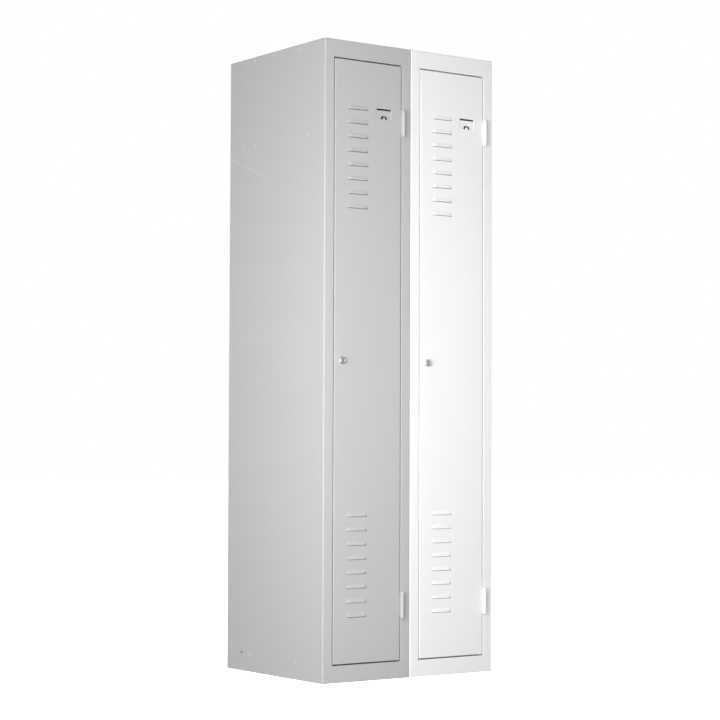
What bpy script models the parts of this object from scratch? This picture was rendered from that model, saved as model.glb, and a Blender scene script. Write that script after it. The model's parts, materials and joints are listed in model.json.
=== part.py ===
"""Clothes locker: two single-door steel units, one light grey and one white, screwed together side by side.

Each unit is a carcass of folded sheets with a hat shelf and a coat rail, closed by a louvred door
that hangs on two barrel hinges and shuts with a cam lock. Metres, +Z up, the fronts face -Y, and
the origin lies under the middle of the whole object, on the floor.
"""

import math

import bpy
from mathutils import Matrix, Vector

# Fits
touch_gap = 0.0003
overrun = 0.002

# Carcass
unit_width = 0.300
unit_depth = 0.500
unit_height = 1.800
sheet = 0.0008
stile_width = 0.032
top_rail_height = 0.050
base_rail_height = 0.0475
return_depth = 0.024
stop_lip = 0.010
base_hem = 0.015
rear_flange = 0.015
weld_flange = 0.018
weld_flange_inset = 0.100
post_fold_radius = 0.003
lip_fold_radius = 0.0015
rear_fold_radius = 0.0012

# Hat shelf
hat_space_height = 0.250
shelf_setback = 0.036
shelf_flange = 0.020
shelf_fold_radius = 0.002

# Coat rail, its hangers and its sliding hooks
rail_drop = 0.060
rail_height = 0.030
rail_width = 0.015
rail_wall = 0.001
rail_overhang = 0.006
hanger_thickness = 0.002
hanger_width = 0.036
hanger_flange = 0.020
hanger_margin = 0.008
hanger_inset = 0.024
hanger_fold_radius = 0.003
hook_width = 0.010
hook_wall = 0.003
hook_slide_gap = 0.0004
hook_stem = 0.022
hook_wire_radius = 0.0025
hook_arc_radius = 0.016
hook_arc_half_angle = math.radians(80)

# Door
door_sheet = 0.001
door_depth = 0.020
door_lip = 0.010
door_side_gap = 0.003
door_end_gap = 0.0035
door_edge_radius = 0.002
stiffener_width = 0.022
stiffener_crown = 0.012
stiffener_depth = 0.012
stiffener_margin = 0.030

# Louvres
louvre_count = 8
louvre_pitch = 0.040
louvre_end_margin = 0.1375
louvre_centre = 0.0825
louvre_length = 0.071
louvre_height = 0.011
louvre_depth = 0.0045
louvre_taper = 0.006
louvre_slit = 0.0006

# Card holder: a pressed pocket with a slot over it and a tongue cut into it
card_centre = 0.0635
card_slot_drop = 0.1345
card_slot_width = 0.050
card_slot_height = 0.0045
pocket_height = 0.0255
pocket_border = 0.001
pocket_depth = 0.0012
tongue_width = 0.0100
tongue_height = 0.0052
tongue_cut = 0.0052
tongue_rise = 0.0005
tongue_corner = 0.0015

# Hinges
hinge_top_inset = 0.1685
hinge_base_inset = 0.1595
hinge_height = 0.075
end_knuckle = 0.009
barrel_radius = 0.005
pin_radius = 0.003
pin_clearance = 0.00015
pin_proud = 0.0005
leaf_thickness = 0.001
leaf_depth = 0.018
leaf_start = 0.004
hinge_axis_offset = 0.0025

# Cam lock
lock_inset = 0.0295
lock_height = 0.8975
head_radius = 0.0105
head_face_radius = 0.0097
head_depth = 0.006
head_chamfer = 0.001
barrel_thread_radius = 0.008
barrel_length = 0.022
barrel_clearance = 0.0002
nut_flat_radius = 0.011
nut_thickness = 0.004
plug_radius = 0.0052
plug_clearance = 0.00015
plug_recess = 0.0004
plug_tail = 0.007
key_slot_width = 0.0016
key_slot_height = 0.007
key_slot_depth = 0.004
tail_side = 0.006
cam_length = 0.026
cam_hub_radius = 0.008
cam_tip_radius = 0.006
cam_thickness = 0.002
cam_clearance = 0.0004
cam_screw_radius = 0.0042
cam_screw_head = 0.002
cam_screw_shank_radius = 0.0015
cam_screw_length = 0.008

# Rubber buffers on the stop lip
buffer_radius = 0.0035
buffer_end_margin = 0.060
buffer_lip_inset = 0.006

# Screws that join the two units
screw_inset = 0.081
screw_base_height = 0.0545
screw_top_drop = 0.024
screw_radius = 0.003
screw_head_radius = 0.005
screw_head_height = 0.0035
screw_length = 0.010
screw_point = 0.003
screw_point_radius = 0.0008

# Counts
fold_steps = 5
round_sides = 28
hexagon_sides = 24
small_sides = 10
hole_sides = 16
arc_steps = 5
louvre_arc_steps = 3
louvre_end_shares = (0.45, 1, 1, 0.45)
sharp_angle = math.radians(35)

# Places worked out from the sizes above
half_width = unit_width / 2
front_y = (2 * barrel_radius + touch_gap - unit_depth) / 2
rear_y = front_y + unit_depth
middle_y = (front_y + rear_y) / 2
opening_top = unit_height - top_rail_height
half_opening = half_width - stile_width
inner_half_width = half_width - sheet - touch_gap
stop_y = front_y + return_depth - sheet
back_y = rear_y - rear_fold_radius - touch_gap - sheet
shelf_z = unit_height - hat_space_height
rail_z = shelf_z - rail_drop
hanger_x = half_width - hanger_inset
hook_pitch = (2 * hanger_x - hanger_thickness) / 3
half_door = half_opening - door_side_gap
door_base = base_rail_height + door_end_gap
door_top = opening_top - door_end_gap
door_inner_y = front_y + door_sheet
hinge_x = half_opening + hinge_axis_offset
hinge_y = front_y - touch_gap - barrel_radius
lock_x = lock_inset - half_opening
louvre_x = louvre_centre - half_opening
card_x = half_opening - card_centre
card_slot_z = opening_top - card_slot_drop
tail_y = stop_y + sheet + cam_clearance
seam_centre = (unit_width + touch_gap) / 2


def clear_scene():
    """Take away whatever the file holds, so that the part stands alone in it."""
    for item in list(bpy.data.objects):
        bpy.data.objects.remove(item, do_unlink=True)


def surface(name, colour, roughness, metallic):
    """One Principled material, with its colour as linear RGB."""
    material = bpy.data.materials.new(name)
    material.use_nodes = True
    shader = material.node_tree.nodes["Principled BSDF"]
    shader.inputs["Base Color"].default_value = (*colour, 1)
    shader.inputs["Roughness"].default_value = roughness
    shader.inputs["Metallic"].default_value = metallic
    material.diffuse_color = (*colour, 1)
    return material


def grey_paint():
    return surface("light_grey_paint", (0.60, 0.60, 0.60), 0.45, 0)


def white_paint():
    return surface("white_paint", (0.86, 0.86, 0.86), 0.45, 0)


def zinc_steel():
    return surface("zinc_steel", (0.62, 0.63, 0.65), 0.35, 1)


def nickel():
    return surface("nickel_plate", (0.66, 0.62, 0.56), 0.25, 1)


def dark_plastic():
    return surface("dark_plastic", (0.05, 0.05, 0.055), 0.5, 0)


def rubber():
    return surface("rubber", (0.03, 0.03, 0.03), 0.8, 0)


def loft(name, loops, ring=False):
    """Join equal loops of points one to the next; a ring joins the last to the first, the rest are capped."""
    count = len(loops[0])
    points = [tuple(point) for loop in loops for point in loop]
    spans = len(loops) if ring else len(loops) - 1
    faces = []
    for span in range(spans):
        here = span * count
        there = (span + 1) % len(loops) * count
        for i in range(count):
            j = (i + 1) % count
            faces.append((here + i, here + j, there + j, there + i))
    if not ring:
        faces.append(tuple(reversed(range(count))))
        faces.append(tuple(range(len(points) - count, len(points))))
    mesh = bpy.data.meshes.new(name)
    mesh.from_pydata(points, [], faces)
    return turned_out(finished(name, mesh))


def finished(name, mesh):
    """An object in the scene with round stretches shaded smooth and folds kept sharp."""
    mesh.shade_smooth()
    mesh.set_sharp_from_angle(angle=sharp_angle)
    thing = bpy.data.objects.new(name, mesh)
    bpy.context.scene.collection.objects.link(thing)
    return thing


def turned_out(thing):
    """Turn the faces to point outwards, which a positive enclosed volume shows."""
    mesh = thing.data
    mesh.calc_loop_triangles()
    volume = 0
    for triangle in mesh.loop_triangles:
        a, b, c = (mesh.vertices[i].co for i in triangle.vertices)
        volume += a.dot(b.cross(c))
    if volume < 0:
        mesh.flip_normals()
    return thing


def joined(name, things):
    """Several bodies that stay apart, held in one object."""
    points, faces = [], []
    for thing in things:
        start = len(points)
        points += [tuple(vertex.co) for vertex in thing.data.vertices]
        faces += [tuple(start + i for i in face.vertices) for face in thing.data.polygons]
        bpy.data.objects.remove(thing, do_unlink=True)
    mesh = bpy.data.meshes.new(name)
    mesh.from_pydata(points, [], faces)
    return finished(name, mesh)


def combine(thing, tool, operation):
    """Add to or cut from a piece with a second shape, which stays as a hidden guide."""
    change = thing.modifiers.new(tool.name, "BOOLEAN")
    change.operation = operation
    change.solver = "EXACT"
    change.object = tool
    tool.hide_render = True
    tool.display_type = "WIRE"
    tool.parent = thing


def block(name, low, high):
    """A box between two corners."""
    (x0, y0, z0), (x1, y1, z1) = low, high
    loops = [[(x0, y0, z), (x1, y0, z), (x1, y1, z), (x0, y1, z)] for z in (z0, z1)]
    return loft(name, loops)


def circle(radius, sides):
    """Points round a circle, as pairs."""
    turns = [2 * math.pi * i / sides for i in range(sides)]
    return [(radius * math.cos(turn), radius * math.sin(turn)) for turn in turns]


def hexagon(flat_radius, sides):
    """Points along a hexagon's edges, at equal turns, so that they pair with a circle's."""
    points = []
    for i in range(sides):
        turn = 2 * math.pi * i / sides
        off_flat = (turn + math.pi / 6) % (math.pi / 3) - math.pi / 6
        reach = flat_radius / math.cos(off_flat)
        points.append((reach * math.cos(turn), reach * math.sin(turn)))
    return points


def oval(width, height):
    """Points round a flat-sided oval that stands upright, as pairs of y and z."""
    radius = width / 2
    straight = height / 2 - radius
    points = []
    for side in (1, -1):
        for i in range(arc_steps + 1):
            turn = math.pi * i / arc_steps
            points.append((side * radius * math.cos(turn), side * (straight + radius * math.sin(turn))))
    return points


def along_x(pairs, x):
    return [(x, y, z) for y, z in pairs]


def along_y(pairs, y):
    return [(x, y, z) for x, z in pairs]


def along_z(pairs, z):
    return [(x, y, z) for x, y in pairs]


def shifted(thing, offset):
    """Move a piece's mesh within its object."""
    thing.data.transform(Matrix.Translation(Vector(offset)))
    return thing


def cylinder_z(name, radius, low, high, sides, centre=(0, 0)):
    ends = [along_z(circle(radius, sides), z) for z in (low, high)]
    return shifted(loft(name, ends), (*centre, 0))


def turned_y(name, profile, sides, ring=False):
    """A shape turned round an axis along Y, from pairs of radius and y."""
    return loft(name, [along_y(circle(radius, sides), y) for radius, y in profile], ring)


def fold_line(corners, radii, thickness):
    """Both faces of a folded sheet, from the corners of its middle line and the outer radius of each fold."""
    left, right = [], []

    def mark(place, normal):
        left.append(place + normal * thickness / 2)
        right.append(place - normal * thickness / 2)

    places = [Vector(corner) for corner in corners]
    first = (places[1] - places[0]).normalized()
    mark(places[0], first.orthogonal())
    for before, here, after, outer in zip(places, places[1:], places[2:], radii):
        way_in = (here - before).normalized()
        way_out = (after - here).normalized()
        turn = way_in.angle_signed(way_out, 0)
        if outer == 0:
            mark(here, way_in.orthogonal())
            continue
        radius = outer - thickness / 2
        reach = radius * math.tan(abs(turn) / 2)
        inwards = way_in.orthogonal() if way_in.orthogonal().dot(way_out) > 0 else -way_in.orthogonal()
        hub = here - way_in * reach + inwards * radius
        for i in range(fold_steps + 1):
            spoke = -inwards
            spoke.rotate(Matrix.Rotation(-turn * i / fold_steps, 2))
            side = 1 if way_in.orthogonal().dot(inwards) < 0 else -1
            mark(hub + spoke * radius, spoke * side)
    last = (places[-1] - places[-2]).normalized()
    mark(places[-1], last.orthogonal())
    return left, right


def folded(name, corners, radii, thickness, low_end, high_end, place):
    """A folded sheet: every point of its outline runs from its own low end to its own high end."""
    left, right = fold_line(corners, radii, thickness)
    loops = []
    for a, b in zip(left, right):
        loops.append([place(*a, low_end(*a)), place(*b, low_end(*b)),
                      place(*b, high_end(*b)), place(*a, high_end(*a))])
    return loft(name, loops)


def tray(name, half_size, depth, thickness, radius, lip, place):
    """A sheet with its four edges folded back; a lip turns in along the back of each edge."""
    half_a, half_b = half_size
    turns = [math.pi / 2 * i / fold_steps for i in range(fold_steps + 1)]
    rows = [(radius - radius * math.sin(t), radius - radius * math.cos(t)) for t in turns]
    rows.append((0, depth))
    if lip:
        rows += [(lip, depth), (lip, depth - thickness), (thickness, depth - thickness)]
    else:
        rows.append((thickness, depth))
    inner = radius - thickness
    rows += [(radius - inner * math.sin(t), radius - inner * math.cos(t)) for t in reversed(turns)]
    loops = []
    for inset, back in rows:
        a, b = half_a - inset, half_b - inset
        loops.append([place(-a, -b, back), place(a, -b, back), place(a, b, back), place(-a, b, back)])
    return loft(name, loops)


def side_top(across, y):
    """Where a side sheet ends at the top: under the top plate, and mitred at its front and rear folds."""
    if across > stile_width:
        return opening_top - (across - stile_width)
    slope = top_rail_height / stile_width if y < front_y + return_depth else 1
    return min(unit_height - across * slope, unit_height - sheet) - touch_gap


def side_base(across, y):
    """Where a side sheet ends at the bottom: on the floor, and mitred along its stile."""
    if across > stile_width:
        return base_rail_height + touch_gap
    if across <= sheet or y > front_y + return_depth:
        return 0
    return across * base_rail_height / stile_width


def side_panel(name, side):
    """A side sheet, folded in front into the stile, its return and the stop lip, and behind into a flange."""
    half = sheet / 2
    corners = [(stile_width + stop_lip, stop_y + half), (stile_width - half, stop_y + half),
               (stile_width - half, front_y + half), (half, front_y + half),
               (half, rear_y - half), (rear_flange, rear_y - half)]
    radii = (lip_fold_radius, lip_fold_radius, post_fold_radius, rear_fold_radius)

    def place(across, y, z):
        return (side * (half_width - across), y, z)

    return folded(name, corners, radii, sheet, side_base, side_top, place)


def top_reach(y, z):
    """How far in from the unit's side the top sheet starts: whole along its plate, mitred elsewhere."""
    drop = unit_height - z
    if drop <= sheet:
        return 0
    if drop > top_rail_height:
        return stile_width + (drop - top_rail_height) + touch_gap
    slope = stile_width / top_rail_height if y < front_y + return_depth else 1
    return drop * slope + touch_gap


def top_panel(name):
    """The top plate, folded in front into the top rail and its stop lip, and behind into a flange."""
    half = sheet / 2
    corners = [(stop_y + half, opening_top - stop_lip), (stop_y + half, opening_top + half),
               (front_y + half, opening_top + half), (front_y + half, unit_height - half),
               (rear_y - half, unit_height - half), (rear_y - half, unit_height - rear_flange)]
    radii = (lip_fold_radius, lip_fold_radius, post_fold_radius, rear_fold_radius)
    panel = folded(name, corners, radii, sheet, lambda y, z: top_reach(y, z) - half_width,
                   lambda y, z: half_width - top_reach(y, z), lambda y, z, x: (x, y, z))
    flanges = weld_flanges(name + "_flanges", unit_height - weld_flange, unit_height - half)
    combine(panel, flanges, "UNION")
    return panel


def base_reach(y, z):
    """How far in from the unit's side the base sheet starts: mitred along its rail, then by the sides."""
    beside = max(sheet, z * stile_width / base_rail_height)
    at_front = y < front_y + return_depth + touch_gap / 2
    return (beside if at_front and z > sheet else sheet) + touch_gap


def base_panel(name):
    """The floor, folded down in front into the base rail and its hem, and behind into an apron."""
    half = sheet / 2
    floor = base_rail_height - half
    step = front_y + return_depth + touch_gap
    corners = [(front_y + base_hem, half), (front_y + half, half), (front_y + half, floor),
               (step - touch_gap, floor), (step, floor),
               (back_y + half, floor), (back_y + half, 0)]
    radii = (lip_fold_radius, lip_fold_radius, 0, 0, rear_fold_radius)
    panel = folded(name, corners, radii, sheet, lambda y, z: base_reach(y, z) - half_width,
                   lambda y, z: half_width - base_reach(y, z), lambda y, z, x: (x, y, z))
    flanges = weld_flanges(name + "_flanges", floor, base_rail_height + weld_flange - sheet)
    combine(panel, flanges, "UNION")
    return panel


def weld_flanges(name, low, high):
    """The strips along both sides by which the top and the base are welded to the side sheets."""
    near, far = front_y + weld_flange_inset, rear_y - weld_flange_inset
    strips = []
    for side in (-1, 1):
        ends = sorted((side * inner_half_width, side * (inner_half_width - sheet)))
        strips.append(block(name, (ends[0], near, low), (ends[1], far, high)))
    return joined(name, strips)


def back_panel(name):
    return block(name, (-inner_half_width, back_y, base_rail_height + touch_gap),
                 (inner_half_width, back_y + sheet, unit_height - sheet - touch_gap))


def hat_shelf(name):
    """The shelf for hats: a sheet with its four edges folded down."""
    near, far = front_y + shelf_setback, back_y - touch_gap
    size = (inner_half_width, (far - near) / 2)
    centre_y = (near + far) / 2
    return tray(name, size, shelf_flange, sheet, shelf_fold_radius, 0,
                lambda a, b, back: (a, centre_y + b, shelf_z - back))


def coat_rail(name):
    """The oval tube that the hooks slide on."""
    end = hanger_x + hanger_thickness / 2 + rail_overhang
    outer = oval(rail_width, rail_height)
    inner = oval(rail_width - 2 * rail_wall, rail_height - 2 * rail_wall)
    loops = [along_x(outer, -end), along_x(outer, end), along_x(inner, end), along_x(inner, -end)]
    return shifted(loft(name, loops, ring=True), (0, middle_y, rail_z))


def rail_hanger(name, side):
    """The bent strap, welded under the shelf, that carries one end of the rail."""
    half = hanger_thickness / 2
    under_shelf = shelf_z - sheet - touch_gap
    foot = rail_z - rail_height / 2 - hanger_margin
    corners = [(hanger_x - hanger_flange, under_shelf - half), (hanger_x, under_shelf - half),
               (hanger_x, foot)]
    strap = folded(name, corners, (hanger_fold_radius,), hanger_thickness,
                   lambda x, z: middle_y - hanger_width / 2, lambda x, z: middle_y + hanger_width / 2,
                   lambda x, z, y: (side * x, y, z))
    hole = oval(rail_width + 2 * touch_gap, rail_height + 2 * touch_gap)
    ends = [along_x(hole, side * (hanger_x + reach)) for reach in (-overrun, overrun)]
    combine(strap, shifted(loft(name + "_hole", ends), (0, middle_y, rail_z)), "DIFFERENCE")
    return strap


def coat_hook(name, x):
    """A sliding hook: an oval eye on the rail, with a stem and a two-armed hook under it."""
    slide = 2 * hook_slide_gap
    inner = oval(rail_width + slide, rail_height + slide)
    outer = oval(rail_width + slide + 2 * hook_wall, rail_height + slide + 2 * hook_wall)
    half = hook_width / 2
    loops = [along_x(outer, -half), along_x(outer, half), along_x(inner, half), along_x(inner, -half)]
    eye = loft(name, loops, ring=True)
    eye_foot = -rail_height / 2 - hook_slide_gap - hook_wall / 2
    hub = eye_foot - hook_stem + hook_arc_radius
    arms = []
    for i in range(2 * arc_steps + 1):
        turn = hook_arc_half_angle * (i / arc_steps - 1)
        ring = []
        for a, b in circle(hook_wire_radius, small_sides):
            reach = hook_arc_radius + b
            ring.append((a, reach * math.sin(turn), hub - reach * math.cos(turn)))
        arms.append(ring)
    stem = cylinder_z(name + "_stem", hook_wire_radius, eye_foot - hook_stem, eye_foot, small_sides)
    combine(eye, stem, "UNION")
    combine(eye, loft(name + "_arms", arms), "UNION")
    eye.location = (x, middle_y, rail_z)
    return eye


def louvre_body(name, centre_z, inset, slit, near_y):
    """One louvre's raised form, or the hollow in it when inset from it: domed above, cut square below."""
    length = louvre_length - 2 * inset
    height, depth = louvre_height - inset, louvre_depth - inset
    foot = centre_z - louvre_height / 2
    taper = louvre_taper
    stations = (-length / 2, taper - length / 2, length / 2 - taper, length / 2)
    loops = []
    for x, share in zip(stations, louvre_end_shares):
        section = [(near_y, foot - slit)]
        section += [(near_y, foot + height * share)]
        for i in range(louvre_arc_steps + 1):
            turn = math.pi / 2 * i / louvre_arc_steps
            section.append((front_y - depth * share * math.sin(turn), foot + height * share * math.cos(turn)))
        if slit:
            section.append((front_y - depth * share, foot - slit))
        loops.append(along_x(section, louvre_x + x))
    return loft(name, loops)


def louvre_rows():
    """Heights of the louvres: a group near the door's top and a group near its foot."""
    top, foot = opening_top - louvre_end_margin, base_rail_height + louvre_end_margin
    upper = [top - i * louvre_pitch for i in range(louvre_count)]
    lower = [foot + i * louvre_pitch for i in range(louvre_count)]
    return upper + lower


def tongue_slit(name):
    """The bridge-shaped cut round the card holder's tongue."""
    foot = card_slot_z - card_slot_height / 2 - pocket_height + tongue_rise

    def arch(half, height, corner):
        points = [(-half, 0)]
        for start, hub_x in ((math.pi, corner - half), (math.pi / 2, half - corner)):
            for i in range(fold_steps + 1):
                turn = start - math.pi / 2 * i / fold_steps
                points.append((hub_x + corner * math.cos(turn), height - corner + corner * math.sin(turn)))
        return points + [(half, 0)]

    inner = arch(tongue_width / 2, tongue_height, tongue_corner)
    outer = arch(tongue_width / 2 + tongue_cut, tongue_height + tongue_cut, tongue_corner + tongue_cut)
    near, far = front_y - overrun, door_inner_y + pocket_depth + overrun
    loops = []
    for (a, b), (c, d) in zip(inner, outer):
        loops.append([(card_x + a, near, foot + b), (card_x + c, near, foot + d),
                      (card_x + c, far, foot + d), (card_x + a, far, foot + b)])
    return loft(name, loops)


def door_panel(name):
    """The door: a tray with lips, pressed louvres, the card holder and the hole for the lock."""
    centre_z = (door_base + door_top) / 2
    panel = tray(name, (half_door, (door_top - door_base) / 2), door_depth, door_sheet, door_edge_radius,
                 door_lip, lambda a, b, back: (a, front_y + back, centre_z + b))
    middle = front_y + door_sheet / 2
    pressings = [louvre_body("hood", z, 0, 0, middle) for z in louvre_rows()]
    slot_foot = card_slot_z - card_slot_height / 2
    half_pocket = card_slot_width / 2 + pocket_border
    pocket_foot = slot_foot - pocket_height
    pocket_top = card_slot_z + card_slot_height / 2 + pocket_border
    left, right = card_x - half_pocket - door_sheet, card_x + half_pocket + door_sheet
    pressings.append(block("pocket", (left, middle, pocket_foot - door_sheet),
                           (right, door_inner_y + pocket_depth, pocket_top + door_sheet)))
    combine(panel, joined(name + "_pressings", pressings), "UNION")
    far = door_inner_y + pocket_depth + overrun
    mouths = [louvre_body("mouth", z, door_sheet, louvre_slit, door_inner_y + overrun) for z in louvre_rows()]
    combine(panel, joined(name + "_mouths", mouths), "DIFFERENCE")
    recess = block(name + "_recess", (card_x - half_pocket, front_y - overrun, pocket_foot),
                   (card_x + half_pocket, front_y + pocket_depth, pocket_top))
    combine(panel, recess, "DIFFERENCE")
    bore = barrel_thread_radius + barrel_clearance
    lock_hole = turned_y("lock_hole", [(bore, front_y - overrun), (bore, far)], round_sides)
    holes = [block("slot", (card_x - card_slot_width / 2, front_y - overrun, slot_foot),
                   (card_x + card_slot_width / 2, far, card_slot_z + card_slot_height / 2)),
             tongue_slit("tongue_slit"), shifted(lock_hole, (lock_x, 0, lock_height))]
    combine(panel, joined(name + "_holes", holes), "DIFFERENCE")
    return panel


def door_stiffener(name):
    """The top-hat strip welded down the inside of the door, between the louvres and the card holder."""
    left = louvre_x + louvre_length / 2
    right = card_x - card_slot_width / 2 - pocket_border - door_sheet
    centre = (left + right) / 2
    flat, crown = door_inner_y + touch_gap + sheet / 2, door_inner_y + touch_gap + stiffener_depth
    half, top = stiffener_width / 2, stiffener_crown / 2
    corners = [(centre - half, flat), (centre - top, flat), (centre - top, crown),
               (centre + top, crown), (centre + top, flat), (centre + half, flat)]
    low, high = door_base + stiffener_margin, door_top - stiffener_margin
    return folded(name, corners, (lip_fold_radius,) * 4, sheet, lambda x, y: low, lambda x, y: high,
                  lambda x, y, z: (x, y, z))


def knuckle(name, low, high):
    """One barrel ring of a hinge, between two heights."""
    bore = circle(pin_radius + pin_clearance, round_sides)
    rim = circle(barrel_radius, round_sides)
    loops = [along_z(rim, low), along_z(rim, high), along_z(bore, high), along_z(bore, low)]
    return shifted(loft(name, loops, ring=True), (hinge_x, hinge_y, 0))


def frame_leaf(name, centre_z):
    """The fixed hinge half: a leaf on the stile's return, with a short knuckle at either end."""
    low, high = centre_z - hinge_height / 2, centre_z + hinge_height / 2
    low_end, high_end = low + end_knuckle, high - end_knuckle
    tab, root, far = hinge_y + barrel_radius / 2, front_y + leaf_start, front_y + leaf_depth
    outline = [(tab, low), (far, low), (far, high), (tab, high),
               (tab, high_end), (root, high_end), (root, low_end), (tab, low_end)]
    x = half_opening - touch_gap
    leaf = loft(name, [along_x(outline, x - leaf_thickness), along_x(outline, x)])
    knuckles = [knuckle("lower_knuckle", low, low_end), knuckle("upper_knuckle", high_end, high)]
    combine(leaf, joined(name + "_knuckles", knuckles), "UNION")
    return leaf


def door_leaf(name, centre_z):
    """The moving hinge half: a leaf on the door's edge, with the long knuckle between the frame's two."""
    low, high = centre_z - hinge_height / 2, centre_z + hinge_height / 2
    tab_low, tab_high = low + end_knuckle + touch_gap, high - end_knuckle - touch_gap
    root, far = front_y + leaf_start, front_y + leaf_depth
    outline = [(root, low), (far, low), (far, high), (root, high),
               (root, tab_high), (hinge_y, tab_high), (hinge_y, tab_low), (root, tab_low)]
    x = half_door + touch_gap
    leaf = loft(name, [along_x(outline, x), along_x(outline, x + leaf_thickness)])
    combine(leaf, knuckle(name + "_knuckle", tab_low, tab_high), "UNION")
    return leaf


def hinge_pin(name, centre_z):
    """A hinge pin, which stays with the frame."""
    reach = hinge_height / 2 + pin_proud
    return cylinder_z(name, pin_radius, centre_z - reach, centre_z + reach, round_sides, (hinge_x, hinge_y))


def hinge_heights():
    return (opening_top - hinge_top_inset, base_rail_height + hinge_base_inset)


def lock_body(name):
    """The lock's housing: a round head before the door and a barrel through it."""
    bore = plug_radius + plug_clearance
    head = front_y - touch_gap
    profile = [(bore, head - head_depth), (head_face_radius, head - head_depth),
               (head_radius, head - head_depth + head_chamfer), (head_radius, head),
               (barrel_thread_radius, head), (barrel_thread_radius, front_y + barrel_length),
               (bore, front_y + barrel_length)]
    return shifted(turned_y(name, profile, round_sides, ring=True), (lock_x, 0, lock_height))


def ring_nut(name, flat_radius, bore_radius, thickness):
    """A hexagon nut round an axis along Y, starting at y = 0."""
    outside, inside = hexagon(flat_radius, hexagon_sides), circle(bore_radius, hexagon_sides)
    loops = [along_y(outside, 0), along_y(outside, thickness), along_y(inside, thickness), along_y(inside, 0)]
    return loft(name, loops, ring=True)


def lock_nut(name):
    """The nut that clamps the lock to the door from inside."""
    nut = ring_nut(name, nut_flat_radius, barrel_thread_radius + barrel_clearance, nut_thickness)
    return shifted(nut, (lock_x, door_inner_y + touch_gap, lock_height))


def lock_plug(name):
    """The core that the key turns, with a square tail for the cam and a keyway in its face."""
    face = front_y - touch_gap - head_depth + plug_recess
    back = front_y + barrel_length + cam_clearance
    plug = turned_y(name, [(plug_radius, face), (plug_radius, back)], round_sides)
    half, end = tail_side / 2, front_y + barrel_length + plug_tail
    combine(plug, block(name + "_tail", (-half, back - plug_clearance, -half), (half, end, half)), "UNION")
    keyway = block(name + "_keyway", (-key_slot_width / 2, face - overrun, -key_slot_height / 2),
                   (key_slot_width / 2, face + key_slot_depth, key_slot_height / 2))
    combine(plug, keyway, "DIFFERENCE")
    radius = cam_screw_shank_radius + touch_gap
    bore = turned_y(name + "_bore", [(radius, end - cam_screw_length), (radius, end + overrun)], small_sides)
    combine(plug, bore, "DIFFERENCE")
    return plug


def lock_cam(name):
    """The cam: it stands up while the door is free, and turned to the side it lies behind the stop lip."""
    tip_z = cam_length - cam_tip_radius
    outline = []
    for i in range(arc_steps + 1):
        turn = math.pi + math.pi * i / arc_steps
        outline.append((cam_hub_radius * math.cos(turn), cam_hub_radius * math.sin(turn)))
    for i in range(arc_steps + 1):
        turn = math.pi * i / arc_steps
        outline.append((cam_tip_radius * math.cos(turn), tip_z + cam_tip_radius * math.sin(turn)))
    cam = loft(name, [along_y(outline, tail_y), along_y(outline, tail_y + cam_thickness)])
    half, far = tail_side / 2 + plug_clearance, tail_y + cam_thickness + overrun
    combine(cam, block(name + "_hole", (-half, tail_y - overrun, -half), (half, far, half)), "DIFFERENCE")
    return cam


def cam_screw(name):
    """The screw that holds the cam on the plug's tail."""
    seat = front_y + barrel_length + plug_tail + touch_gap
    point = seat - cam_screw_length + 2 * touch_gap
    profile = [(cam_screw_shank_radius, point), (cam_screw_shank_radius, seat),
               (cam_screw_radius, seat), (cam_screw_radius, seat + cam_screw_head)]
    return turned_y(name, profile, small_sides)


def door_buffer(name, z):
    """A rubber buffer on the stop lip that the door shuts against."""
    near, far = front_y + door_depth + touch_gap, stop_y - touch_gap
    pad = turned_y(name, [(buffer_radius, near), (buffer_radius, far)], small_sides)
    return shifted(pad, (buffer_lip_inset - half_opening, 0, z))


def screw_places():
    """Name, depth and height of the four screws between the units."""
    return [(f"{depth}_{level}", y, z)
            for level, z in (("base", screw_base_height), ("top", unit_height - screw_top_drop))
            for depth, y in (("front", front_y + screw_inset), ("rear", rear_y - screw_inset))]


def turned_x(name, profile, y, z, sides):
    """A shape turned round an axis along X, from pairs of radius and x."""
    return shifted(loft(name, [along_x(circle(radius, sides), x) for radius, x in profile]), (0, y, z))


def screw_holes(name, x, places):
    """Cutters through the side sheet that stands at x."""
    radius = screw_radius + touch_gap
    profile = [(radius, x - overrun), (radius, x + overrun)]
    return joined(name, [turned_x(name, profile, y, z, hole_sides) for _, y, z in places])


def joining_screw(name, y, z):
    """A sheet-metal screw from inside the grey unit into the white one."""
    seat = -(touch_gap / 2 + sheet + touch_gap)
    point = seat + screw_length - screw_point
    profile = [(screw_head_radius, seat - screw_head_height), (screw_head_radius, seat),
               (screw_radius, seat), (screw_radius, point), (screw_point_radius, seat + screw_length)]
    return turned_x(name, profile, y, z, small_sides)


def pivot(name, parent, place):
    """An empty that pieces hang from: a unit's origin, or the axis of a joint."""
    empty = bpy.data.objects.new(name, None)
    bpy.context.scene.collection.objects.link(empty)
    empty.parent = parent
    empty.location = place
    return empty


def hang(thing, parent, material, from_place=(0, 0, 0)):
    """Give a piece its material and hang it from an empty, with its origin on that empty."""
    thing.data.materials.append(material)
    if any(from_place):
        for piece in (thing, *thing.children):
            shifted(piece, [-length for length in from_place])
    thing.parent = parent


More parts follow.
